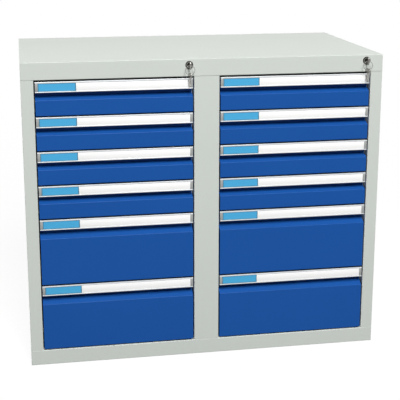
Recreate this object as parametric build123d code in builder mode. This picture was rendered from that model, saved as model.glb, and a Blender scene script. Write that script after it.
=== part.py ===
from build123d import *
import os
from math import cos, radians, sin

os.makedirs("parts", exist_ok=True)

# All sizes are millimetres. The cabinet stands on z = 0 with its front towards -Y.

# Carcass
cabinet_depth = 580.0
stile_width = 36.0
post_width = 74.0
fascia_height = 50.0
base_height = 45.0
sheet = 1.2
fold_inside = 0.6
return_depth = 60.0
rim_flange = 20.0

# Drawer rows, the low ones above the tall ones
low_row_height = 100.0
low_count = 4
tall_row_height = 200.0
tall_count = 2
top_gap = 5.0
row_gap = 3.5
side_gap = 3.5

# Drawer front with its sloping finger recess
front_width = 445.0
front_sheet = 1.2
front_fold_inside = 0.8
finger_gap = 13.0
recess_depth = 24.0
low_slope_rise = 9.0
tall_slope_rise = 14.0
flange_drop = 8.0

# Handle strip, a label holder across the top of each front
handle_height = 30.0
handle_depth = 6.0
upper_lip = 2.8
lower_lip = 1.7
nib_height = 1.0
nib_thickness = 0.8
channel_depth = 2.2
plug_width = 8.0
plug_setback = 0.2
tab_width = 106.0
card_thickness = 1.2
card_clearance = 0.2

# Drawer tray
tray_sheet = 1.0
tray_lift = 8.0
tray_headroom = 22.0
tray_hem = 10.0
tray_rear_space = 55.0

# Slides, a channel on the cabinet round a smaller channel on the drawer
slide_space = 22.5
rail_sheet = 1.5
rail_height = 34.0
rail_lift = 12.0
rail_clearance = 0.4
cabinet_rail_depth = 11.0
cabinet_rail_gap = 12.0
cabinet_rail_rear_space = 22.0
drawer_rail_depth = 18.0

# Back panel screws
screw_diameter = 4.0
screw_length = 10.0
screw_head_diameter = 8.0
screw_head_height = 2.2
screw_hole_clearance = 0.3
screw_rows = 4
screw_end_distance = 70.0

# Locks in the fascia, near the right edge of each column
lock_drop = 17.0
lock_inset = 14.0
housing_diameter = 19.0
housing_length = 26.0
housing_flange_diameter = 22.5
housing_flange_thickness = 2.5
housing_hole_clearance = 0.2
nut_across_flats = 24.0
nut_thickness = 5.0
plug_diameter = 12.0
plug_clearance = 0.3
plug_recess = 1.0
plug_stub = 2.0
cam_thickness = 2.5
cam_hub_diameter = 14.0
cam_throw = 8.0
cam_pin_diameter = 4.0
cam_pin_boss = 8.0
lock_turn = 90.0

# Locking bars and the catches on the drawers
bar_gap = 1.5
bar_thickness = 4.0
bar_width = 9.0
bar_inset = 3.0
bar_foot = 12.0
arm_height = 12.0
arm_end = 1.0
pin_play = 0.6
hook_height = 7.0
hook_reach = 18.0
catch_rise = 16.0
catch_height = 8.0
catch_reach = 12.0
catch_sheet = 2.0
catch_length = 22.0
catch_play = 1.5
window_play = 2.5
guide_height = 12.0
guide_wall = 3.0
guide_clearance = 0.4
guide_rise = 12.0

# Keys and rings
key_thickness = 2.2
key_blade_height = 7.0
key_blade_length = 20.0
key_neck = 4.0
key_bow_width = 22.0
key_bow_length = 16.0
key_bow_corner = 5.0
key_slot_length = 13.0
key_slot_to_edge = 6.0
keyway_clearance = 0.25
ring_wire = 1.6
ring_diameter = 27.0
ring_clearance = 0.5
spare_key_turn = 12.0

# Places worked out from the sizes above
opening_width = front_width + 2 * side_gap
cabinet_width = 2 * stile_width + 2 * opening_width + post_width
opening_top = base_height + low_count * low_row_height + tall_count * tall_row_height + top_gap
cabinet_height = opening_top + fascia_height
front_y = -cabinet_depth / 2
back_y = cabinet_depth / 2
column_x = (opening_width + post_width) / 2
front_depth = recess_depth + front_sheet
tray_width = opening_width - 2 * slide_space
bar_lift = 2 * cam_throw * sin(radians(lock_turn / 2))
bar_y = front_y + housing_length + plug_stub + cam_thickness + bar_gap
catch_y = bar_y + bar_thickness + catch_play
lock_z = cabinet_height - lock_drop
plug_face_y = front_y - housing_flange_thickness + plug_recess
ring_y = plug_face_y - key_neck - key_bow_length + key_slot_to_edge

columns = {"left": -column_x, "right": column_x}
row_heights = [low_row_height] * low_count + [tall_row_height] * tall_count
row_slopes = [low_slope_rise] * low_count + [tall_slope_rise] * tall_count
row_bottoms = [opening_top - top_gap - sum(row_heights[: row + 1]) for row in range(len(row_heights))]


def span(first, second):
    """Return two limits in rising order."""
    return min(first, second), max(first, second)


def block(x, y, z, mode=Mode.ADD):
    """Add or cut a rectangular block between its limits on each axis."""
    with Locations((sum(x) / 2, sum(y) / 2, sum(z) / 2)):
        Box(x[1] - x[0], y[1] - y[0], z[1] - z[0], mode=mode)


def folded_sheet(plane, points, inside_radius, thickness, length):
    """Return a sheet folded along points, with its thickness to the right of their path."""
    with BuildPart() as folded:
        with BuildSketch(plane):
            with BuildLine():
                path = FilletPolyline(*points, radius=inside_radius + thickness)
                offset(path, amount=thickness, side=Side.RIGHT)
            make_face()
        extrude(amount=length)
    return folded.part


def folded_pan(floor_z, rim_z):
    """Return a pan with a sheet at floor_z, four rims and an inward flange round rim_z."""
    inward = sheet if rim_z > floor_z else -sheet
    half_x = cabinet_width / 2
    half_y = cabinet_depth / 2
    flange_x = half_x - sheet - rim_flange
    flange_y = half_y - sheet - rim_flange
    with BuildPart() as pan:
        block((-half_x, half_x), (-half_y, half_y), span(floor_z, rim_z))
        fillet(pan.edges(), fold_inside + sheet)
        block((sheet - half_x, half_x - sheet), (sheet - half_y, half_y - sheet),
              span(floor_z + inward, rim_z - inward), mode=Mode.SUBTRACT)
        block((-flange_x, flange_x), (-flange_y, flange_y),
              span(rim_z - inward, rim_z), mode=Mode.SUBTRACT)
    return pan.part


def write(shape, name):
    """Name a finished piece and write it to its own file."""
    shape.label = name
    export_step(shape, f"parts/{name}.step")


def write_group(shapes, name):
    """Write pieces that share a node as separate solids."""
    write(Compound(label=name, children=shapes), name)


# Screw places on the back, one line on each side panel and one on the centre post
screw_x = cabinet_width / 2 - stile_width / 2
screw_low = base_height + screw_end_distance
screw_step = (opening_top - screw_end_distance - screw_low) / (screw_rows - 1)
screw_heights = [screw_low + row * screw_step for row in range(screw_rows)]
screw_columns = (-screw_x, 0.0, screw_x)
screw_hole_radius = screw_diameter / 2 + screw_hole_clearance


def drill_screw_holes(x_places):
    """Drill the screw holes on these upright lines, from the back."""
    for x in x_places:
        for z in screw_heights:
            with Locations(Plane(origin=(x, back_y, z), z_dir=(0, 1, 0))):
                Cylinder(screw_hole_radius, screw_length, mode=Mode.SUBTRACT)


def lock_plane(lock_x, y):
    """Return the plane across a lock's axis at this depth, facing the back."""
    return Plane(origin=(lock_x, y, lock_z), x_dir=(1, 0, 0), z_dir=(0, 1, 0))


# Hook levels, counted from the bottom of a row
catch_low = rail_lift + rail_height + catch_rise
hook_low = catch_low + (catch_height - hook_height) / 2 - bar_lift


def cut_hook_windows(edge_x):
    """Cut the windows that the hooks reach through, in the folded return at edge_x."""
    for row_z in row_bottoms:
        block((edge_x, edge_x + sheet),
              (bar_y - window_play, bar_y + bar_thickness + window_play),
              (row_z + hook_low - window_play, row_z + hook_low + bar_lift + hook_height + window_play),
              mode=Mode.SUBTRACT)


# Top cover: a pan whose front rim is the fascia, with a hole for each lock
lock_places = {side: x + opening_width / 2 - lock_inset for side, x in columns.items()}
lock_hole_radius = housing_diameter / 2 + housing_hole_clearance
cover_pan = folded_pan(cabinet_height, opening_top)
with BuildPart() as top_cover:
    add(cover_pan)
    for lock_x in lock_places.values():
        with BuildSketch(lock_plane(lock_x, front_y)):
            Circle(lock_hole_radius)
        extrude(amount=sheet, mode=Mode.SUBTRACT)
write(top_cover.part, "top_cover")

# Base tray: the same pan the other way up, whose front rim is the bottom rail
write(folded_pan(0.0, base_height), "base_tray")

# Side panels: one sheet folded round into the front stile, the rear flange and their returns
stile_x = cabinet_width / 2 - stile_width
upright_height = opening_top - base_height
upright_plane = Plane.XY.offset(base_height)
rear_flange_y = back_y - sheet
right_outline = [
    (stile_x, rear_flange_y - return_depth),
    (stile_x, rear_flange_y),
    (cabinet_width / 2, rear_flange_y),
    (cabinet_width / 2, front_y),
    (stile_x, front_y),
    (stile_x, front_y + return_depth),
]
left_outline = [(-x, y) for x, y in reversed(right_outline)]
right_sheet = folded_sheet(upright_plane, right_outline, fold_inside, sheet, upright_height)
left_sheet = folded_sheet(upright_plane, left_outline, fold_inside, sheet, upright_height)

with BuildPart() as left_side_panel:
    add(left_sheet)
    drill_screw_holes([-screw_x])
write(left_side_panel.part, "left_side_panel")

with BuildPart() as right_side_panel:
    add(right_sheet)
    drill_screw_holes([screw_x])
    cut_hook_windows(stile_x)
write(right_side_panel.part, "right_side_panel")

# Centre front post: a channel between the two columns
post_x = post_width / 2
front_post_outline = [
    (post_x, front_y + return_depth),
    (post_x, front_y),
    (-post_x, front_y),
    (-post_x, front_y + return_depth),
]
front_post_sheet = folded_sheet(upright_plane, front_post_outline, fold_inside, sheet, upright_height)
with BuildPart() as centre_front_post:
    add(front_post_sheet)
    cut_hook_windows(-post_x)
write(centre_front_post.part, "centre_front_post")

# Centre rear post: the matching channel against the back panel
rear_post_outline = [
    (-post_x, rear_flange_y - return_depth),
    (-post_x, rear_flange_y),
    (post_x, rear_flange_y),
    (post_x, rear_flange_y - return_depth),
]
rear_post_sheet = folded_sheet(upright_plane, rear_post_outline, fold_inside, sheet, upright_height)
with BuildPart() as centre_rear_post:
    add(rear_post_sheet)
    drill_screw_holes([0.0])
write(centre_rear_post.part, "centre_rear_post")

# Back panel: a flat sheet across the rear flanges
with BuildPart() as back_panel:
    block((-cabinet_width / 2, cabinet_width / 2), (rear_flange_y, back_y), (base_height, opening_top))
    drill_screw_holes(screw_columns)
write(back_panel.part, "back_panel")

# Back panel screws: pan heads on the back, shanks through the panel and the flanges
with BuildPart() as back_panel_screws:
    for x in screw_columns:
        for z in screw_heights:
            with Locations(Plane(origin=(x, back_y + screw_head_height / 2, z), z_dir=(0, 1, 0))):
                Cylinder(screw_head_diameter / 2, screw_head_height)
            with Locations(Plane(origin=(x, back_y - screw_length / 2, z), z_dir=(0, 1, 0))):
                Cylinder(screw_diameter / 2, screw_length)
write(back_panel_screws.part, "back_panel_screws")

# Cabinet runners: channels fixed to the front and rear uprights, open towards the drawer
cabinet_rail_y = (front_y + front_depth + cabinet_rail_gap, back_y - cabinet_rail_rear_space)
for column, centre_x in columns.items():
    with BuildPart() as runners:
        for row_z in row_bottoms:
            low = row_z + rail_lift
            high = low + rail_height
            for hand in (-1, 1):
                edge_x = centre_x + hand * opening_width / 2
                web_x = edge_x - hand * rail_sheet
                lip_x = edge_x - hand * cabinet_rail_depth
                block(span(edge_x, web_x), cabinet_rail_y, (low, high))
                block(span(edge_x, lip_x), cabinet_rail_y, (low, low + rail_sheet))
                block(span(edge_x, lip_x), cabinet_rail_y, (high - rail_sheet, high))
    write(runners.part, f"{column}_column_runners")


def tray_pieces(centre_x, row_z, row_height):
    """Return a drawer's tray, its two runners and its lock catch, as separate solids."""
    half = tray_width / 2
    tray_x = (centre_x - half, centre_x + half)
    tray_y = (front_y + front_depth, back_y - tray_rear_space)
    tray_z = (row_z + tray_lift, row_z + row_height - tray_headroom)
    hem_z = tray_z[1] - tray_hem
    hem = 2 * tray_sheet
    with BuildPart() as shell:
        block(tray_x, tray_y, tray_z)
        block((tray_x[0] + tray_sheet, tray_x[1] - tray_sheet),
              (tray_y[0] + tray_sheet, tray_y[1] - tray_sheet),
              (tray_z[0] + tray_sheet, hem_z), mode=Mode.SUBTRACT)
        block((tray_x[0] + hem, tray_x[1] - hem), (tray_y[0] + hem, tray_y[1] - hem),
              (hem_z, tray_z[1]), mode=Mode.SUBTRACT)

    low = row_z + rail_lift + rail_sheet + rail_clearance
    high = row_z + rail_lift + rail_height - rail_sheet - rail_clearance
    with BuildPart() as rails:
        for hand in (-1, 1):
            side_x = centre_x + hand * half
            web_x = side_x + hand * rail_sheet
            lip_x = side_x + hand * drawer_rail_depth
            block(span(side_x, web_x), tray_y, (low, high))
            block(span(side_x, lip_x), tray_y, (low, low + rail_sheet))
            block(span(side_x, lip_x), tray_y, (high - rail_sheet, high))

    catch_z = (row_z + catch_low, row_z + catch_low + catch_height)
    with BuildPart() as catch:
        block((tray_x[1], tray_x[1] + catch_sheet), (catch_y, catch_y + catch_length), catch_z)
        block((tray_x[1], tray_x[1] + catch_reach), (catch_y, catch_y + catch_sheet), catch_z)
    return [shell.part, *rails.part.solids(), catch.part]


def front_piece(centre_x, row_z, row_height, slope_rise):
    """Return a drawer front, one folded sheet with a cheek closing each end."""
    section = Plane(origin=(centre_x - front_width / 2, front_y, row_z + row_height),
                    x_dir=(0, 1, 0), z_dir=(1, 0, 0))
    bottom = row_gap - row_height
    slope_top = -handle_height - finger_gap
    slope_foot = slope_top - slope_rise
    flange_depth = handle_depth + front_sheet
    flange_z = -flange_drop - front_sheet
    outline = [
        (front_depth, bottom),
        (0, bottom),
        (0, slope_foot),
        (recess_depth, slope_top),
        (recess_depth, flange_z),
        (flange_depth, flange_z),
        (flange_depth, lower_lip - handle_height),
    ]
    skin = folded_sheet(section, outline, front_fold_inside, front_sheet, front_width)
    middle = front_sheet / 2
    with BuildPart() as front:
        add(skin)
        with BuildSketch(section, section.offset(front_width - front_sheet)):
            with BuildLine():
                Polyline(
                    (middle, bottom + middle),
                    (recess_depth + middle, bottom + middle),
                    (recess_depth + middle, slope_top - middle),
                    (middle, slope_foot - middle),
                    close=True,
                )
            make_face()
        extrude(amount=front_sheet)
    return front.part


def handle_pieces(centre_x, row_z, row_height):
    """Return a handle strip, its end plugs, tab card and label card, as separate solids."""
    left_x = centre_x - front_width / 2
    right_x = centre_x + front_width / 2
    top_z = row_z + row_height
    section = Plane(origin=(left_x, front_y, top_z), x_dir=(0, 1, 0), z_dir=(1, 0, 0))
    groove_top = -upper_lip
    groove_bottom = lower_lip - handle_height
    with BuildPart() as strip:
        with BuildSketch(section):
            with BuildLine():
                Polyline(
                    (handle_depth, 0),
                    (0, 0),
                    (0, groove_top - nib_height),
                    (nib_thickness, groove_top - nib_height),
                    (nib_thickness, groove_top),
                    (channel_depth, groove_top),
                    (channel_depth, groove_bottom),
                    (nib_thickness, groove_bottom),
                    (nib_thickness, groove_bottom + nib_height),
                    (0, groove_bottom + nib_height),
                    (0, -handle_height),
                    (handle_depth, -handle_height),
                    close=True,
                )
            make_face()
        extrude(amount=front_width)

    pieces = [strip.part]
    groove_z = (top_z + groove_bottom + card_clearance, top_z + groove_top - card_clearance)
    face_z = (groove_z[0] + nib_height, groove_z[1] - nib_height)
    floor_y = front_y + channel_depth
    seat_y = floor_y - card_thickness
    for plug_x in ((left_x, left_x + plug_width), (right_x - plug_width, right_x)):
        with BuildPart() as plug:
            block(plug_x, (seat_y, floor_y), groove_z)
            block(plug_x, (front_y + plug_setback, seat_y), face_z)
        pieces.append(plug.part)

    tab_end = left_x + plug_width + tab_width
    for card_x in ((left_x + plug_width, tab_end), (tab_end, right_x - plug_width)):
        with BuildPart() as card:
            block(card_x, (seat_y, floor_y), groove_z)
        pieces.append(card.part)
    return pieces


# Twelve drawers: each one a tray, a front and a handle strip
for column, centre_x in columns.items():
    for row, (row_z, row_height) in enumerate(zip(row_bottoms, row_heights), start=1):
        drawer = f"{column}_drawer_{row}"
        slope_rise = row_slopes[row - 1]
        write_group(tray_pieces(centre_x, row_z, row_height), f"{drawer}_tray")
        write(front_piece(centre_x, row_z, row_height, slope_rise), f"{drawer}_front")
        write_group(handle_pieces(centre_x, row_z, row_height), f"{drawer}_handle")


def housing_piece(lock_x):
    """Return a lock housing: a bored barrel with a round flange in front of the fascia."""
    with BuildPart() as housing:
        with BuildSketch(lock_plane(lock_x, front_y - housing_flange_thickness)):
            Circle(housing_flange_diameter / 2)
        extrude(amount=housing_flange_thickness)
        with BuildSketch(lock_plane(lock_x, front_y)):
            Circle(housing_diameter / 2)
        extrude(amount=housing_length)
        with BuildSketch(lock_plane(lock_x, front_y - housing_flange_thickness)):
            Circle(plug_diameter / 2 + plug_clearance)
        extrude(amount=housing_flange_thickness + housing_length, mode=Mode.SUBTRACT)
    return housing.part


def plug_pieces(lock_x):
    """Return a lock plug with its keyway, and the cam on its rear end with the cam's pin."""
    keyway = (key_thickness + 2 * keyway_clearance, key_blade_height + 2 * keyway_clearance)
    plug_rear_y = front_y + housing_length + plug_stub
    with BuildPart() as plug:
        with BuildSketch(lock_plane(lock_x, plug_face_y)):
            Circle(plug_diameter / 2)
        extrude(amount=plug_rear_y - plug_face_y)
        with BuildSketch(lock_plane(lock_x, plug_face_y)):
            Rectangle(*keyway)
        extrude(amount=key_blade_length + keyway_clearance, mode=Mode.SUBTRACT)

    pin_swing = radians(lock_turn / 2)
    pin_place = (cam_throw * cos(pin_swing), cam_throw * sin(pin_swing))
    cam_rear_y = plug_rear_y + cam_thickness
    with BuildPart() as cam:
        with BuildSketch(lock_plane(lock_x, plug_rear_y)):
            Circle(cam_hub_diameter / 2)
            with Locations(pin_place):
                Circle(cam_pin_boss / 2)
            make_hull()
        extrude(amount=cam_thickness)
        with BuildSketch(lock_plane(lock_x, cam_rear_y)):
            with Locations(pin_place):
                Circle(cam_pin_diameter / 2)
        extrude(amount=bar_gap + bar_thickness + bar_gap)
    return [plug.part, cam.part]


def key_piece(plane):
    """Return a key lying in plane, its bow slot at the origin and its blade along local X."""
    bow_end = key_bow_length - key_slot_to_edge
    blade_end = bow_end + key_neck + key_blade_length
    with BuildPart() as key:
        with BuildSketch(plane):
            with Locations((bow_end - key_bow_length / 2, 0)):
                RectangleRounded(key_bow_length, key_bow_width, key_bow_corner)
            with Locations(((bow_end + blade_end) / 2, 0)):
                Rectangle(blade_end - bow_end, key_blade_height)
            SlotOverall(key_slot_length, ring_wire + 2 * ring_clearance, rotation=90, mode=Mode.SUBTRACT)
        extrude(amount=key_thickness / 2, both=True)
    return key.part


def ring_piece(lock_x):
    """Return a key ring that hangs through the key's bow, facing the front."""
    centre_z = lock_z - ring_diameter / 2
    with BuildPart() as ring:
        with Locations(Plane(origin=(lock_x, ring_y, centre_z), x_dir=(1, 0, 0), z_dir=(0, 1, 0))):
            Torus(ring_diameter / 2, ring_wire / 2)
    return ring.part


def bar_piece(lock_x, edge_x):
    """Return a locking bar: a flat bar with an arm to the cam and a hook for each drawer."""
    arm_z = lock_z - bar_lift / 2
    bar_x = (edge_x + bar_inset, edge_x + bar_inset + bar_width)
    bar_span_y = (bar_y, bar_y + bar_thickness)
    slot_height = cam_pin_diameter / 2 + pin_play
    slot_low = cam_throw * cos(radians(lock_turn / 2)) - cam_pin_diameter / 2 - pin_play
    slot_high = cam_throw + cam_pin_diameter / 2 + pin_play
    with BuildPart() as bar:
        block(bar_x, bar_span_y, (base_height + bar_foot, arm_z + arm_height / 2))
        block((lock_x - arm_end, bar_x[1]), bar_span_y, (arm_z - arm_height / 2, arm_z + arm_height / 2))
        for row_z in row_bottoms:
            block((edge_x - hook_reach, bar_x[1]), bar_span_y,
                  (row_z + hook_low, row_z + hook_low + hook_height))
        block((lock_x + slot_low, lock_x + slot_high), bar_span_y,
              (arm_z - slot_height, arm_z + slot_height), mode=Mode.SUBTRACT)
    return bar.part


# Locks, keys and locking bars, one set for each column
nut_pieces = []
guide_pieces = []
guide_rows = (0, low_count - 1, len(row_bottoms) - 1)
for column, lock_x in lock_places.items():
    edge_x = lock_x + lock_inset
    write(housing_piece(lock_x), f"{column}_lock_housing")
    write_group(plug_pieces(lock_x), f"{column}_lock_plug")
    write(bar_piece(lock_x, edge_x), f"{column}_locking_bar")

    inserted = Plane(origin=(lock_x, ring_y, lock_z), x_dir=(0, 1, 0), z_dir=(1, 0, 0))
    write(key_piece(inserted), f"{column}_key")
    write(ring_piece(lock_x), f"{column}_key_ring")
    turn = radians(spare_key_turn)
    hanging = Plane(origin=(lock_x, ring_y, lock_z - ring_diameter), x_dir=(0, 0, -1),
                    z_dir=(cos(turn), sin(turn), 0))
    write(key_piece(hanging), f"{column}_spare_key")

    with BuildPart() as nut:
        with BuildSketch(lock_plane(lock_x, front_y + sheet)):
            RegularPolygon(nut_across_flats / 2, 6, major_radius=False)
            Circle(lock_hole_radius, mode=Mode.SUBTRACT)
        extrude(amount=nut_thickness)
    nut_pieces.append(nut.part)

    slot_x = (edge_x + bar_inset - guide_clearance, edge_x + bar_inset + bar_width + guide_clearance)
    slot_y = (bar_y - guide_clearance, bar_y + bar_thickness + guide_clearance)
    for row in guide_rows:
        guide_low = row_bottoms[row] + catch_low + catch_height + guide_rise
        guide_z = (guide_low, guide_low + guide_height)
        with BuildPart() as guide:
            block((edge_x + sheet, slot_x[1] + guide_wall),
                  (slot_y[0] - guide_wall, slot_y[1] + guide_wall), guide_z)
            block(slot_x, slot_y, guide_z, mode=Mode.SUBTRACT)
        guide_pieces.append(guide.part)

write_group(nut_pieces, "lock_nuts")
write_group(guide_pieces, "locking_bar_guides")
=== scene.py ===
from math import cos, pi, radians, sin

import bmesh
import bpy
from mathutils import Matrix, Vector


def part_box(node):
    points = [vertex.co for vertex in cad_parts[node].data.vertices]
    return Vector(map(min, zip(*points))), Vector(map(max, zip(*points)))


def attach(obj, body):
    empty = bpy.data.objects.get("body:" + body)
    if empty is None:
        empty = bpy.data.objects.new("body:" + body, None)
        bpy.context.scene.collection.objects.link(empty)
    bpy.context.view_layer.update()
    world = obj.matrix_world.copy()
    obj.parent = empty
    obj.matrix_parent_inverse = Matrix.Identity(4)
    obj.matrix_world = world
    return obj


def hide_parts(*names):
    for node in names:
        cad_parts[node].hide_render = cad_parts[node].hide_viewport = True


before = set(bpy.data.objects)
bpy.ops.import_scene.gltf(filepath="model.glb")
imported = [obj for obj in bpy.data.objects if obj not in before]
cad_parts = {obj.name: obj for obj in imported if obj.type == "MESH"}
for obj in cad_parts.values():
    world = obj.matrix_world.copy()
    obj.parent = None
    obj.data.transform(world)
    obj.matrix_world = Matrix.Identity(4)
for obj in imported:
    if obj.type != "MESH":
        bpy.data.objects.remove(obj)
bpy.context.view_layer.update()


# Base tray. A shallow pan of 1.2 mm sheet steel with turned-up rims, standing flat on the floor.
# Folded on a press brake, then powder coated light grey with the rest of the carcass.

def linear(hex_colour):
    """Turn an sRGB hex colour into linear RGBA."""
    parts = [int(hex_colour[i:i + 2], 16) / 255 for i in (1, 3, 5)]
    return [c / 12.92 if c <= 0.04045 else ((c + 0.055) / 1.055) ** 2.4 for c in parts] + [1.0]


def feed(node, inputs):
    """Give a node's sockets their values, or links from the sockets of other nodes."""
    for socket, value in inputs.items():
        if isinstance(value, bpy.types.NodeSocket):
            node.id_data.links.new(value, node.inputs[socket])
        else:
            node.inputs[socket].default_value = value


def add_node(tree, kind, inputs, **settings):
    """Add a shader node with its settings, and feed its sockets."""
    node = tree.nodes.new("ShaderNode" + kind)
    for name, value in settings.items():
        setattr(node, name, value)
    feed(node, inputs)
    return node


def start_finish(name):
    """Start a finish: return its material, its nodes, its shader and the place that its patterns follow."""
    material = bpy.data.materials.new(name)
    material.use_nodes = True
    tree = material.node_tree
    place = add_node(tree, "TexCoord", {}).outputs["Object"]
    return material, tree, tree.nodes["Principled BSDF"], place


def powder_coat(name, light, dark, roughness, specular):
    """Polyester powder baked on steel: an even colour, a fine pebbled skin and a soft sheen."""
    material, tree, shader, place = start_finish(name)
    # The coat's thickness drifts over about 250 mm, which shifts its tone by a hair.
    drift = add_node(tree, "TexNoise", {"Vector": place, "Scale": 1000 / 250, "Detail": 2.0}).outputs["Fac"]
    tone = add_node(tree, "Mix", {"Factor": drift, 6: linear(dark), 7: linear(light)}, data_type="RGBA")
    # Real pebbling is about 0.6 mm, drawn at 2.5 mm so that it shows, and 0.1 mm deep.
    pebble = add_node(tree, "TexNoise", {"Vector": place, "Scale": 1000 / 2.5, "Detail": 3.0}).outputs["Fac"]
    gloss = add_node(tree, "MapRange", {"Value": pebble, "To Min": roughness[0], "To Max": roughness[1]})
    skin = add_node(tree, "Bump", {"Height": pebble, "Strength": 0.25, "Distance": 0.0001})
    feed(shader, {
        "Base Color": tone.outputs[2],
        "Roughness": gloss.outputs["Result"],
        "Normal": skin.outputs["Normal"],
        "IOR": 1.5,
        "Specular IOR Level": specular,
    })
    return material


def dress(node, finish):
    """Give a piece of the frame its finish."""
    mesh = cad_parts[node].data
    mesh.materials.clear()
    mesh.materials.append(finish)


light_grey_coat = powder_coat("light_grey_powder_coat", "#CED3CD", "#C9CFC9",
                              roughness=(0.40, 0.52), specular=0.25)
dress("base_tray", light_grey_coat)


# Side panels. Each is one sheet folded round into the front stile, the rear flange and their returns.
# The right panel has windows in its stile return for the hooks of the locking bar.
dress("left_side_panel", light_grey_coat)
dress("right_side_panel", light_grey_coat)


# Centre posts. Two channels between the columns, one behind the fronts and one at the back.
# They carry the inner runners, and the front one hides the left column's locking bar.
dress("centre_front_post", light_grey_coat)
dress("centre_rear_post", light_grey_coat)


# Back panel and its screws. A flat sheet across the rear flanges, held by twelve pan-head screws.
# The screws are cold-headed steel with a socket, bright zinc plated.

def zinc_plate(name):
    """Bright zinc with a clear passivate: a cool metal whose tint and polish drift in soft clouds."""
    material, tree, shader, place = start_finish(name)
    # The passivate film drifts from bluish to straw over about 40 mm.
    film = add_node(tree, "TexNoise", {"Vector": place, "Scale": 1000 / 40, "Detail": 3.0}).outputs["Fac"]
    tint = add_node(tree, "Mix", {"Factor": film, 6: linear("#BFC6CC"), 7: linear("#D2CFC4")},
                    data_type="RGBA")
    # Rolling lines of about 0.3 mm run along the strip, drawn at 2 mm so that they show, each 83 mm long.
    lines = (1000 / 2, 1000 / 83.3, 1000 / 2)
    strip = add_node(tree, "Mapping", {"Vector": place, "Scale": lines}).outputs["Vector"]
    rolling = add_node(tree, "TexNoise", {"Vector": strip, "Scale": 1.0, "Detail": 2.0}).outputs["Fac"]
    polish = add_node(tree, "MapRange", {"Value": rolling, "To Min": 0.26, "To Max": 0.42})
    feed(shader, {"Base Color": tint.outputs[2], "Roughness": polish.outputs["Result"], "Metallic": 1.0})
    return material


def box_mm(node):
    """Return the lowest and highest corners of a piece of the frame, in millimetres."""
    return [1000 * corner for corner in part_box(node)]


def make_piece(bm, name, finish, slot, body, *nodes):
    """Turn a shape in millimetres into a named piece that rides on its body."""
    bmesh.ops.scale(bm, vec=(0.001, 0.001, 0.001), verts=bm.verts)
    mesh = bpy.data.meshes.new(name)
    bm.to_mesh(mesh)
    bm.free()
    mesh.materials.append(finish)
    mesh.shade_smooth()
    mesh.set_sharp_from_angle(angle=radians(35))
    piece = bpy.data.objects.new(name, mesh)
    bpy.context.scene.collection.objects.link(piece)
    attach(piece, body)
    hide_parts(*nodes)
    return piece


def turn_profile(bm, points, centre, steps):
    """Lathe a chain of (radius, y) points about a line along Y through centre, and close its seams."""
    chain = [bm.verts.new((centre[0] + radius, centre[1] + y, centre[2])) for radius, y in points]
    edges = [bm.edges.new(pair) for pair in zip(chain, chain[1:])]
    bmesh.ops.spin(bm, geom=chain + edges, cent=centre, axis=(0, 1, 0), angle=2 * pi, steps=steps,
                   use_merge=True)
    bmesh.ops.remove_doubles(bm, verts=bm.verts, dist=0.001)
    bmesh.ops.recalc_face_normals(bm, faces=bm.faces)


bright_zinc = zinc_plate("bright_zinc_plate")
dress("back_panel", light_grey_coat)
panel_low, panel_high = box_mm("back_panel")
screw_from_side = 18.0
screw_from_end = 70.0
screw_rows = 4
screw_sides = 20
# Radius and height over the panel, from the socket's floor over the domed head and down the shank.
screw_outline = (
    (0.0, 0.9), (1.5, 1.0), (1.7, 2.1), (2.6, 2.1), (3.5, 1.5), (4.0, 0.5), (4.0, 0.0),
    (2.0, 0.0), (2.0, -9.0), (1.3, -10.0), (0.0, -10.0),
)
screw_low = panel_low.z + screw_from_end
screw_step = (panel_high.z - screw_from_end - screw_low) / (screw_rows - 1)
screws = bmesh.new()
for screw_x in (panel_low.x + screw_from_side, 0.0, panel_high.x - screw_from_side):
    for row in range(screw_rows):
        place = (screw_x, panel_high.y, screw_low + row * screw_step)
        turn_profile(screws, screw_outline, place, screw_sides)
make_piece(screws, "pan_head_screws", bright_zinc, "zinc_plated_steel", "cabinet", "back_panel_screws")


# Top cover. The same pan as the base turned over: a plain flat top whose front rim is the fascia.
# A punched hole near the right end of each column takes a cylinder lock.
dress("top_cover", light_grey_coat)


# Cabinet runners. Cold-rolled channels welded between the front and rear uprights, two to a drawer.
# Bright zinc plated steel with rounded shoulders, open towards the drawer.

def new_verts(grown):
    """Return the corners that an extrusion made."""
    return [item for item in grown["geom"] if isinstance(item, bmesh.types.BMVert)]


def ease(bm, edges, width, segments):
    """Round edges over a width."""
    bmesh.ops.bevel(bm, geom=edges, offset=width, segments=segments, profile=0.5, affect="EDGES", material=-1)


def fold_edges(bm):
    """Return the edges that join two faces of a sheet."""
    return [edge for edge in bm.edges if len(edge.link_faces) == 2]


def point_outwards(bm, direction):
    """Turn a folded sheet's faces the same way, with the one furthest along direction facing it."""
    bmesh.ops.recalc_face_normals(bm, faces=bm.faces)
    bm.normal_update()
    along = Vector(direction)
    outermost = max(bm.faces, key=lambda face: face.calc_center_median().dot(along))
    if outermost.normal.dot(along) < 0:
        bmesh.ops.reverse_faces(bm, faces=bm.faces)


def fold_strip(bm, corners, run, fold_width, outwards):
    """Draw a chain of corners out along run, round its folds, and add the strip to a shape."""
    strip = bmesh.new()
    chain = [strip.verts.new(corner) for corner in corners]
    edges = [strip.edges.new(pair) for pair in zip(chain, chain[1:])]
    grown = bmesh.ops.extrude_edge_only(strip, edges=edges)
    bmesh.ops.translate(strip, verts=new_verts(grown), vec=run)
    ease(strip, fold_edges(strip), fold_width, segments=4)
    point_outwards(strip, outwards)
    mesh = bpy.data.meshes.new("strip")
    strip.to_mesh(mesh)
    strip.free()
    bm.from_mesh(mesh)
    bpy.data.meshes.remove(mesh)


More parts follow.
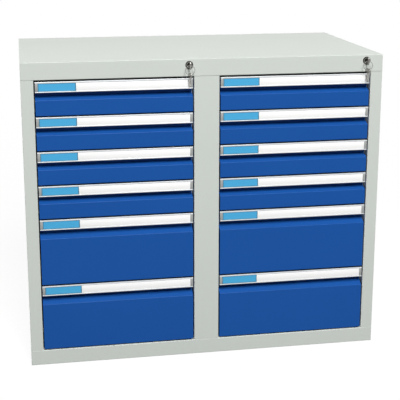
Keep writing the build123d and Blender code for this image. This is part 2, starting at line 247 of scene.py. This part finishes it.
def fold_runner(bm, web_x, lip_x, limits_y, limits_z):
    """Fold a runner along Y: a web at web_x and two lips reaching to lip_x."""
    foot, head = limits_z
    section = ((lip_x, head), (web_x, head), (web_x, foot), (lip_x, foot))
    corners = [(x, limits_y[0], z) for x, z in section]
    fold_strip(bm, corners, (0, limits_y[1] - limits_y[0], 0), rail_shoulder, (web_x - lip_x, 0, 0))


def thicken(piece, thickness):
    """Give a folded sheet its thickness, on the inside of its folds."""
    wall = piece.modifiers.new("sheet", "SOLIDIFY")
    wall.thickness = thickness / 1000
    wall.offset = -1.0
    wall.use_even_offset = True


columns = ("left", "right")
rows = range(1, 7)
rail_sheet = 1.5
rail_shoulder = 3.0
rail_height = 34.0
rail_depth = 11.0
rail_above_tray_floor = 4.0
for column in columns:
    low, high = box_mm(f"{column}_column_runners")
    runners = bmesh.new()
    for row in rows:
        foot = box_mm(f"{column}_drawer_{row}_tray")[0].z + rail_above_tray_floor
        for web_x, lip_x in ((low.x, low.x + rail_depth), (high.x, high.x - rail_depth)):
            fold_runner(runners, web_x, lip_x, (low.y, high.y), (foot, foot + rail_height))
    channels = make_piece(runners, f"{column}_cabinet_runners", bright_zinc, "zinc_plated_steel", "cabinet",
                          f"{column}_column_runners")
    thicken(channels, rail_sheet)


# Locking bars and guides. A flat steel bar slides up and down behind the stile in acetal guides.
# Its hooks stand in front of the drawers' catches when the key lifts it.

def black_acetal(name):
    """Moulded acetal: deep black, slightly waxy, with a faint spark-eroded grain."""
    material, tree, shader, place = start_finish(name)
    # A spark grain of about 0.1 mm, drawn at 1 mm so that it shows.
    grain = add_node(tree, "TexNoise", {"Vector": place, "Scale": 1000 / 1, "Detail": 2.0}).outputs["Fac"]
    tone = add_node(tree, "Mix", {"Factor": grain, 6: linear("#1B1B1D"), 7: linear("#262629")},
                    data_type="RGBA")
    wax = add_node(tree, "MapRange", {"Value": grain, "To Min": 0.38, "To Max": 0.52})
    feed(shader, {"Base Color": tone.outputs[2], "Roughness": wax.outputs["Result"], "IOR": 1.48})
    return material


dress("left_locking_bar", bright_zinc)
dress("right_locking_bar", bright_zinc)
dress("locking_bar_guides", black_acetal("black_acetal"))


# Lock housings, nuts and plugs. A turned brass barrel with a round flange sits through the fascia.
# A hexagon nut holds it from behind, and the plug inside carries the cam.
# All are nickel plated. The flange and the plug are painted dark as painted shade: the dark ring at the
# flange's edge and the shadow in the keyway.

def nickel_plate(name, light, dark, roughness):
    """Nickel over machined brass: a warm grey mirror, softened by fine handling marks."""
    material, tree, shader, place = start_finish(name)
    # Handling marks of about 0.2 mm, drawn at 1.5 mm so that they show.
    marks = add_node(tree, "TexNoise", {"Vector": place, "Scale": 1000 / 1.5, "Detail": 4.0}).outputs["Fac"]
    tint = add_node(tree, "Mix", {"Factor": marks, 6: linear(dark), 7: linear(light)}, data_type="RGBA")
    gloss = add_node(tree, "MapRange", {"Value": marks, "To Min": roughness[0], "To Max": roughness[1]})
    feed(shader, {"Base Color": tint.outputs[2], "Roughness": gloss.outputs["Result"], "Metallic": 1.0})
    return material


lock_nickel = nickel_plate("lock_nickel_plate", "#C6C6C2", "#B2B2AE", roughness=(0.20, 0.34))
# Painted shade: this dark nickel stands for the dark ring at the flange's edge and the shadow in the plug's
# keyway.
painted_shade_nickel = nickel_plate("painted_shade_dark_nickel", "#3A3A38", "#2C2C2B", roughness=(0.28, 0.42))
lock_sides = 48
# Closed loops of radius and depth behind the fascia's face.
barrel_outline = (
    (6.3, 26.0), (6.3, -1.6), (7.0, -2.3), (8.2, -2.4), (8.6, -2.0), (8.6, 0.0), (9.2, 0.0),
    (9.2, 26.0), (6.3, 26.0),
)
flange_outline = (
    (8.7, 0.0), (8.7, -1.9), (9.1, -2.4), (10.4, -2.5), (11.0, -2.0), (11.25, -1.2), (11.25, 0.0),
    (8.7, 0.0),
)
fascia_y = box_mm("top_cover")[0].y
lock_axes = {}
for column in columns:
    low, high = box_mm(f"{column}_lock_housing")
    axis = Vector(((low.x + high.x) / 2, fascia_y, (low.z + high.z) / 2))
    lock_axes[column] = axis
    turnings = (("barrel", barrel_outline, lock_nickel), ("flange", flange_outline, painted_shade_nickel))
    for kind, outline, finish in turnings:
        turned = bmesh.new()
        turn_profile(turned, outline, axis, lock_sides)
        make_piece(turned, f"{column}_lock_{kind}", finish, "lock_nickel", "cabinet",
                   f"{column}_lock_housing")
    dress(f"{column}_lock_plug", painted_shade_nickel)
dress("lock_nuts", lock_nickel)


# Drawer trays. One sheet of 1 mm steel folded up into a box, with a closed hem round the rim.
# Spot welded at the corners and powder coated grey before its runners go on.
drawers = [f"{column}_drawer_{row}" for column in columns for row in rows]
tray_coat = powder_coat("tray_grey_powder_coat", "#CBD0CB", "#C4CAC5", roughness=(0.36, 0.48), specular=0.25)
tray_sheet = 0.95
tray_fold = 0.9
hem_width = 2.0
hem_depth = 10.0
drawer_rail_depth = 18.0


def tray_corners(drawer):
    """Return the lowest and highest corners of a drawer's folded tray, between its two runners."""
    low, high = box_mm(f"{drawer}_tray")
    runner = Vector((drawer_rail_depth, 0, 0))
    return low + runner, high - runner


def draw_in(verts, centre, distance):
    """Move a rectangular rim's corners towards its middle by distance."""
    for vert in verts:
        vert.co.x -= distance if vert.co.x > centre.x else -distance
        vert.co.y -= distance if vert.co.y > centre.y else -distance


def fold_tray(low, high):
    """Fold a tray from its floor: walls up, then a hem in and down along the rim."""
    bm = bmesh.new()
    corners = ((low.x, low.y), (high.x, low.y), (high.x, high.y), (low.x, high.y))
    floor = bm.faces.new([bm.verts.new((x, y, low.z)) for x, y in corners])
    rim = list(floor.edges)
    for rise, inset in ((high.z - low.z, 0.0), (0.0, hem_width), (-hem_depth, 0.0)):
        grown = bmesh.ops.extrude_edge_only(bm, edges=rim)
        verts = new_verts(grown)
        rim = [item for item in grown["geom"] if isinstance(item, bmesh.types.BMEdge)
               and item.verts[0] in verts and item.verts[1] in verts]
        bmesh.ops.translate(bm, verts=verts, vec=(0, 0, rise))
        draw_in(verts, (low + high) / 2, inset)
    ease(bm, fold_edges(bm), tray_fold, segments=3)
    point_outwards(bm, (0, 0, -1))
    return bm


for drawer in drawers:
    box = fold_tray(*tray_corners(drawer))
    tray = make_piece(box, f"{drawer}_folded_tray", tray_coat, "tray_powder_coat", drawer, f"{drawer}_tray")
    thicken(tray, tray_sheet)


# Drawer runners and catches. A channel on each side of the tray runs inside the cabinet's channel.
# An angle on the right side is the catch that the locking bar's hook stops.
# Both are bright zinc plated steel, fixed to the tray's sides.
rail_play = 0.4
catch_play = 1.5
catch_sheet = 2.0
catch_fold = 2.5
catch_reach = 12.0
catch_length = 22.0
catch_height = 8.0
catch_above_tray_floor = 54.0
catch_y = box_mm("left_locking_bar")[1].y + catch_play
for drawer in drawers:
    low, high = tray_corners(drawer)
    foot = low.z + rail_above_tray_floor + rail_sheet + rail_play
    head = low.z + rail_above_tray_floor + rail_height - rail_sheet - rail_play
    channels = bmesh.new()
    for web_x, lip_x in ((low.x, low.x - drawer_rail_depth), (high.x, high.x + drawer_rail_depth)):
        fold_runner(channels, web_x, lip_x, (low.y, high.y), (foot, head))
    pair = make_piece(channels, f"{drawer}_runners", bright_zinc, "zinc_plated_steel", drawer,
                      f"{drawer}_tray")
    thicken(pair, rail_sheet)

    angle = bmesh.new()
    section = ((high.x + catch_reach, catch_y), (high.x, catch_y), (high.x, catch_y + catch_length))
    corners = [(x, y, low.z + catch_above_tray_floor) for x, y in section]
    fold_strip(angle, corners, (0, 0, catch_height), catch_fold, (-1, -1, 0))
    catch = make_piece(angle, f"{drawer}_catch", bright_zinc, "zinc_plated_steel", drawer, f"{drawer}_tray")
    thicken(catch, catch_sheet)


# Drawer fronts. One sheet folded into a flat face, a sloping finger recess and a flange for the handle.
# Powder coated gentian blue on its own before it is riveted to the tray.
gentian_blue_coat = powder_coat("gentian_blue_powder_coat", "#1B54A0", "#19509B",
                                roughness=(0.36, 0.48), specular=0.12)
for drawer in drawers:
    dress(f"{drawer}_front", gentian_blue_coat)


# Handle strips. An aluminium extrusion across the top of each front, with two lips that hold the cards.
# Cut to the front's width and anodised natural, so that the drawing lines along it stay visible.

def anodised_aluminium(name):
    """Natural anodised aluminium: a pale satin metal with fine lines along the extrusion."""
    material, tree, shader, place = start_finish(name)
    # Die lines of about 0.2 mm, drawn at 1.2 mm so that they show, each some 300 mm long.
    run = (1000 / 300, 1000 / 1.2, 1000 / 1.2)
    along = add_node(tree, "Mapping", {"Vector": place, "Scale": run}).outputs["Vector"]
    lines = add_node(tree, "TexNoise", {"Vector": along, "Scale": 1.0, "Detail": 3.0}).outputs["Fac"]
    tint = add_node(tree, "Mix", {"Factor": lines, 6: linear("#CDD0D2"), 7: linear("#D9DCDE")},
                    data_type="RGBA")
    satin = add_node(tree, "MapRange", {"Value": lines, "To Min": 0.34, "To Max": 0.5})
    grooves = add_node(tree, "Bump", {"Height": lines, "Strength": 0.3, "Distance": 0.00005})
    feed(shader, {
        "Base Color": tint.outputs[2],
        "Roughness": satin.outputs["Result"],
        "Normal": grooves.outputs["Normal"],
        "Metallic": 1.0,
    })
    return material


satin_aluminium = anodised_aluminium("natural_anodised_aluminium")
upper_lip = 2.8
lower_lip = 1.7
nib_height = 1.0
nib_depth = 0.8
groove_depth = 2.2
strip_easing = 0.3


def strip_section(low, high):
    """Return the (y, z) corners of a handle strip's section, round from the top of its back."""
    nib_y = low.y + nib_depth
    groove_y = low.y + groove_depth
    groove_top = high.z - upper_lip
    groove_foot = low.z + lower_lip
    upper_nib = groove_top - nib_height
    lower_nib = groove_foot + nib_height
    return (
        (high.y, high.z), (low.y, high.z), (low.y, upper_nib), (nib_y, upper_nib), (nib_y, groove_top),
        (groove_y, groove_top), (groove_y, groove_foot), (nib_y, groove_foot), (nib_y, lower_nib),
        (low.y, lower_nib), (low.y, low.z), (high.y, low.z),
    )


for drawer in drawers:
    low, high = box_mm(f"{drawer}_handle")
    length = high.x - low.x
    strip = bmesh.new()
    end = strip.faces.new([strip.verts.new((low.x, y, z)) for y, z in strip_section(low, high)])
    grown = bmesh.ops.extrude_face_region(strip, geom=[end])
    bmesh.ops.translate(strip, verts=new_verts(grown), vec=(length, 0, 0))
    bmesh.ops.recalc_face_normals(strip, faces=strip.faces)
    long_edges = [edge for edge in strip.edges if edge.calc_length() > length / 2]
    ease(strip, long_edges, strip_easing, segments=2)
    make_piece(strip, f"{drawer}_handle_strip", satin_aluminium, "anodised_aluminium", drawer,
               f"{drawer}_handle")


# End plugs. Moulded grey caps that fill the card channel at each end of a handle strip.
# Nylon with a fine moulded grain, pushed in under the lips.

def moulded_nylon(name, light, dark):
    """Moulded nylon: a flat mid grey with a fine grain and a slightly waxy gleam."""
    material, tree, shader, place = start_finish(name)
    # A moulded grain of about 0.2 mm, drawn at 1.2 mm so that it shows.
    grain = add_node(tree, "TexNoise", {"Vector": place, "Scale": 1000 / 1.2, "Detail": 2.0}).outputs["Fac"]
    tone = add_node(tree, "Mix", {"Factor": grain, 6: linear(dark), 7: linear(light)}, data_type="RGBA")
    gloss = add_node(tree, "MapRange", {"Value": grain, "To Min": 0.45, "To Max": 0.6})
    feed(shader, {"Base Color": tone.outputs[2], "Roughness": gloss.outputs["Result"], "IOR": 1.53})
    return material


def add_block(bm, limits_x, limits_y, limits_z, easing):
    """Add a block between its limits, with its edges eased."""
    limits = (limits_x, limits_y, limits_z)
    size = Matrix.Diagonal((*[high - low for low, high in limits], 1.0))
    middle = Matrix.Translation([(low + high) / 2 for low, high in limits])
    made = bmesh.ops.create_cube(bm, size=1.0, matrix=middle @ size)
    edges = list({edge for vert in made["verts"] for edge in vert.link_edges})
    ease(bm, edges, easing, segments=2)


def channel_limits(low, high):
    """Return the limits along Y and Z of what lies on the floor of a strip's channel."""
    floor_y = low.y + groove_depth
    limits_z = (low.z + lower_lip + card_play, high.z - upper_lip - card_play)
    return (floor_y - card_thickness, floor_y), limits_z


plug_grey = moulded_nylon("grey_moulded_nylon", "#A3A6A4", "#979A98")
card_thickness = 1.2
card_play = 0.2
plug_width = 8.0
plug_setback = 0.2
plug_root = 0.2
plug_foot_easing = 0.2
plug_face_easing = 0.4
for drawer in drawers:
    low, high = box_mm(f"{drawer}_handle")
    seat_y, seat_z = channel_limits(low, high)
    face_y = (low.y + plug_setback, seat_y[0] + plug_root)
    face_z = (seat_z[0] + nib_height, seat_z[1] - nib_height)
    plugs = bmesh.new()
    for limits_x in ((low.x, low.x + plug_width), (high.x - plug_width, high.x)):
        add_block(plugs, limits_x, seat_y, seat_z, plug_foot_easing)
        add_block(plugs, limits_x, face_y, face_z, plug_face_easing)
    make_piece(plugs, f"{drawer}_end_plugs", plug_grey, "end_plug_plastic", drawer, f"{drawer}_handle")


# Cards. A light blue tab and a white label slide along the channel under the lips of the strip.
# Both are smooth coated card, cut square, and neither has any words. A thin darker border round the tab's
# front is painted shade, where the lips and the plugs shade its edges.

def coated_card(name, light, dark):
    """Coated card: matt paper fibres under a thin smooth film."""
    material, tree, shader, place = start_finish(name)
    # Fibres of about 0.3 mm, drawn at 1.5 mm so that they show.
    fibre = add_node(tree, "TexNoise", {"Vector": place, "Scale": 1000 / 1.5, "Detail": 5.0}).outputs["Fac"]
    tone = add_node(tree, "Mix", {"Factor": fibre, 6: linear(dark), 7: linear(light)}, data_type="RGBA")
    film = add_node(tree, "MapRange", {"Value": fibre, "To Min": 0.4, "To Max": 0.55})
    feed(shader, {"Base Color": tone.outputs[2], "Roughness": film.outputs["Result"], "IOR": 1.46})
    return material


def shade_tab_edges(card, width, finish):
    """Paint a darker border of this width in millimetres round the front of a tab, as painted shade along its
    edges.
    """
    bm = bmesh.new()
    bm.from_mesh(card.data)
    face = min(bm.faces, key=lambda face: face.calc_center_median().y)
    rims = bmesh.ops.inset_individual(bm, faces=[face], thickness=width / 1000, use_even_offset=True)["faces"]
    for rim in rims:
        rim.material_index = 1
    bm.to_mesh(card.data)
    bm.free()
    card.data.materials.append(finish)


tab_width = 106.0
shade_width = 2.4
card_easing = 0.15
# Painted shade: the darker border stands for the shade that the lips and plugs cast along the tab's edges.
tab_edge_shade = coated_card("painted_shade_tab_border", "#4B7E99", "#44758F")
white_card = coated_card("white_coated_card", "#FEFEFD", "#FBFBFA")
blue_card = coated_card("light_blue_coated_card", "#4AACDB", "#42A3D4")
for drawer in drawers:
    low, high = box_mm(f"{drawer}_handle")
    seat_y, seat_z = channel_limits(low, high)
    tab_start = low.x + plug_width
    tab_end = tab_start + tab_width
    label_end = high.x - plug_width
    tab = bmesh.new()
    add_block(tab, (tab_start, tab_end), seat_y, seat_z, card_easing)
    tab_card = make_piece(tab, f"{drawer}_tab_card", blue_card, "tab_card", drawer, f"{drawer}_handle")
    shade_tab_edges(tab_card, shade_width, tab_edge_shade)
    label = bmesh.new()
    add_block(label, (tab_end, label_end), seat_y, seat_z, card_easing)
    make_piece(label, f"{drawer}_label_card", white_card, "label_card", drawer, f"{drawer}_handle")


# Keys and rings. A flat nickel-plated key stands in each lock, with its spare on a split ring.
# Stamped from 2.2 mm brass, with a slot in the bow and the bitting cut along one edge of the blade.
key_nickel = nickel_plate("key_nickel_plate", "#A9A7A2", "#93918C", roughness=(0.18, 0.32))
key_thickness = 2.2
key_easing = 0.25
bow_corners = ((-6.0, 11.0), (-6.0, -11.0), (10.0, -11.0), (10.0, 11.0))
bow_rounding = 5.0
slot_corners = ((-1.3, 6.5), (-1.3, -6.5), (1.3, -6.5), (1.3, 6.5))
slot_rounding = 1.2
# The blade from the bow along its cut edge to the tip, and back along its straight edge.
blade_corners = (
    (9.5, -3.5), (16.0, -3.5), (17.6, -1.6), (19.2, -3.0), (21.0, -0.9), (22.8, -2.6), (24.6, -1.2),
    (26.4, -2.8), (28.4, -1.5), (30.6, -3.3), (34.0, -1.2), (34.0, 1.6), (32.4, 3.5), (9.5, 3.5),
)


def draw_outline(bm, corners):
    """Draw a closed outline on the key's lower face."""
    return bm.faces.new([bm.verts.new((x, y, -key_thickness / 2)) for x, y in corners])


def draw_rounded(bm, corners, rounding, segments):
    """Draw a closed outline with rounded corners, and leave it empty."""
    face = draw_outline(bm, corners)
    bmesh.ops.bevel(bm, geom=list(face.verts), offset=rounding, segments=segments, profile=0.5,
                    affect="VERTICES", material=-1)
    bmesh.ops.delete(bm, geom=list(bm.faces), context="FACES_ONLY")


def is_rim(edge):
    """Tell whether an edge of the stamping runs round one of its two faces."""
    level = abs(edge.verts[0].co.z - edge.verts[1].co.z) < 0.01
    return level and len(edge.link_faces) == 2 and edge.calc_face_angle() > radians(60)


def stamp_key(plane):
    """Stamp a key in plane: the ring's slot at its origin and the blade along its X."""
    bm = bmesh.new()
    draw_rounded(bm, bow_corners, bow_rounding, segments=6)
    draw_rounded(bm, slot_corners, slot_rounding, segments=4)
    bmesh.ops.triangle_fill(bm, use_beauty=True, use_dissolve=False, edges=list(bm.edges))
    draw_outline(bm, blade_corners)
    bmesh.ops.recalc_face_normals(bm, faces=bm.faces)
    grown = bmesh.ops.extrude_face_region(bm, geom=list(bm.faces))
    bmesh.ops.translate(bm, verts=new_verts(grown), vec=(0, 0, key_thickness))
    bmesh.ops.recalc_face_normals(bm, faces=bm.faces)
    ease(bm, [edge for edge in bm.edges if is_rim(edge)], key_easing, segments=2)
    bmesh.ops.transform(bm, matrix=plane, verts=bm.verts)
    return bm


def plane_at(origin, x_axis, z_axis):
    """Return the matrix of a plane from its origin, its X and its normal."""
    x_axis, z_axis = Vector(x_axis), Vector(z_axis)
    turn = Matrix((x_axis, z_axis.cross(x_axis), z_axis)).transposed().to_4x4()
    return Matrix.Translation(origin) @ turn


ring_reach = 15.5
ring_drop = 27.0
spare_key_turn = radians(12)
# The wire's section, as heights and depths about the slot of the key in the lock.
wire_section = ((-0.8, -0.38), (-0.5, -0.75), (0.5, -0.75), (0.8, -0.38), (0.5, -0.02), (-0.5, -0.02))
coil_turns = 2
coil_pitch = 0.77
turn_steps = 48
for column, axis in lock_axes.items():
    slot_place = axis - Vector((0, ring_reach, 0))
    spare_place = slot_place - Vector((0, 0, ring_drop))
    inserted = plane_at(slot_place, (0, 1, 0), (1, 0, 0))
    make_piece(stamp_key(inserted), f"{column}_stamped_key", key_nickel, "lock_nickel", f"{column}_lock",
               f"{column}_key")

    hanging = plane_at(spare_place, (0, 0, -1), (cos(spare_key_turn), sin(spare_key_turn), 0))
    make_piece(stamp_key(hanging), f"{column}_stamped_spare_key", key_nickel, "lock_nickel",
               f"{column}_hanging_key", f"{column}_spare_key")

    coil = bmesh.new()
    end = coil.faces.new([coil.verts.new(slot_place + Vector((0, y, z))) for z, y in wire_section])
    bmesh.ops.spin(coil, geom=[end], cent=(slot_place + spare_place) / 2, axis=(0, 1, 0),
                   dvec=(0, coil_pitch / turn_steps, 0), angle=coil_turns * 2 * pi,
                   steps=coil_turns * turn_steps)
    bmesh.ops.recalc_face_normals(coil, faces=coil.faces)
    make_piece(coil, f"{column}_split_ring", key_nickel, "lock_nickel", f"{column}_ring",
               f"{column}_key_ring")


# Floor. A plain pale studio floor: white to the camera, with a faint shadow round the cabinet.
# It fades into the white of the world behind it some metres away.

def shown(tree):
    """Return a socket that is 1 for what the camera sees, itself or in metal and glass."""
    rays = add_node(tree, "LightPath", {}).outputs
    plain = add_node(tree, "Math", {0: rays["Is Camera Ray"], 1: rays["Is Glossy Ray"]}, operation="MAXIMUM")
    through = {0: plain.outputs[0], 1: rays["Is Transmission Ray"]}
    return add_node(tree, "Math", through, operation="MAXIMUM").outputs[0]


scene = bpy.context.scene
scene.view_settings.view_transform = "Standard"
floor_size = 120.0
fade_start = 1.2
fade_end = 3.6
white_near = 0.92
bpy.ops.mesh.primitive_plane_add(size=floor_size)
floor = bpy.context.object
floor.name = "floor"
pale_floor = bpy.data.materials.new("pale_studio_floor")
pale_floor.use_nodes = True
tree = pale_floor.node_tree
tree.nodes.clear()
seen = shown(tree)
white = add_node(tree, "Emission", {"Color": (1, 1, 1, 1), "Strength": 1.0})
bounce = add_node(tree, "Mix", {"Factor": seen, 6: linear("#5E5E5E"), 7: linear("#FFFFFF")}, data_type="RGBA")
matt = add_node(tree, "BsdfDiffuse", {"Color": bounce.outputs[2]})
place = add_node(tree, "TexCoord", {}).outputs["Object"]
distance = add_node(tree, "VectorMath", {0: place}, operation="LENGTH").outputs["Value"]
fade = add_node(tree, "MapRange", {"Value": distance, "From Min": fade_start, "From Max": fade_end,
                                   "To Min": white_near, "To Max": 1.0})
share = add_node(tree, "Math", {0: seen, 1: fade.outputs["Result"]}, operation="MULTIPLY")
mixed = add_node(tree, "MixShader", {0: share.outputs[0], 1: matt.outputs[0], 2: white.outputs[0]})
add_node(tree, "OutputMaterial", {"Surface": mixed.outputs[0]})
floor.data.materials.append(pale_floor)


# Studio wall. The white behind and round the floor, which the camera and bright metal see as plain white.
# It gives the cabinet itself only a weak even light.
world_light = 0.05
world = bpy.data.worlds.new("white_studio")
scene.world = world
world.use_nodes = True
tree = world.node_tree
tree.nodes.clear()
level = add_node(tree, "MapRange", {"Value": shown(tree), "To Min": world_light, "To Max": 1.0})
sky = add_node(tree, "Background", {"Color": (1, 1, 1, 1), "Strength": level.outputs["Result"]})
add_node(tree, "OutputWorld", {"Surface": sky.outputs[0]})


# Lamps. One large soft lamp above and in front, and two weaker ones for the sides and the back.
# They stand far enough off to light the cabinet evenly.

def add_lamp(name, place, aim, width, height, power):
    """Hang a soft lamp at place, turned towards aim."""
    data = bpy.data.lights.new(name, "AREA")
    data.shape = "RECTANGLE"
    data.size = width
    data.size_y = height
    data.energy = power
    lamp = bpy.data.objects.new(name, data)
    lamp.location = place
    lamp.rotation_mode = "QUATERNION"
    lamp.rotation_quaternion = (Vector(aim) - Vector(place)).to_track_quat("-Z", "Y")
    scene.collection.objects.link(lamp)


cabinet_middle = (0.0, 0.0, 0.45)
add_lamp("front_lamp", (0.4, -6.4, 6.9), cabinet_middle, width=1.8, height=4.5, power=1010.0)
add_lamp("right_lamp", (7.0, 3.2, 1.1), cabinet_middle, width=3.0, height=3.0, power=520.0)
add_lamp("left_lamp", (-7.0, 3.2, 1.1), cabinet_middle, width=3.0, height=3.0, power=520.0)


# Camera. A long lens a little above the cabinet and left of its middle, as in the photograph.
# It looks down a little, and the lens is shifted so that the uprights converge less.
camera_place = (-0.523, -3.08791, 1.29167)
camera_turn = -0.1779
camera_dip = 0.2372
camera_roll = 0.0007
lens = bpy.data.cameras.new("camera")
lens.sensor_width = 36.0
lens.lens = 90.64
lens.shift_y = -0.1
camera = bpy.data.objects.new("camera", lens)
turn = Matrix.Rotation(camera_turn, 4, "Z")
tilt = Matrix.Rotation(pi / 2 - camera_dip, 4, "X")
roll = Matrix.Rotation(camera_roll, 4, "Z")
camera.matrix_world = Matrix.Translation(camera_place) @ turn @ tilt @ roll
scene.collection.objects.link(camera)
scene.camera = camera
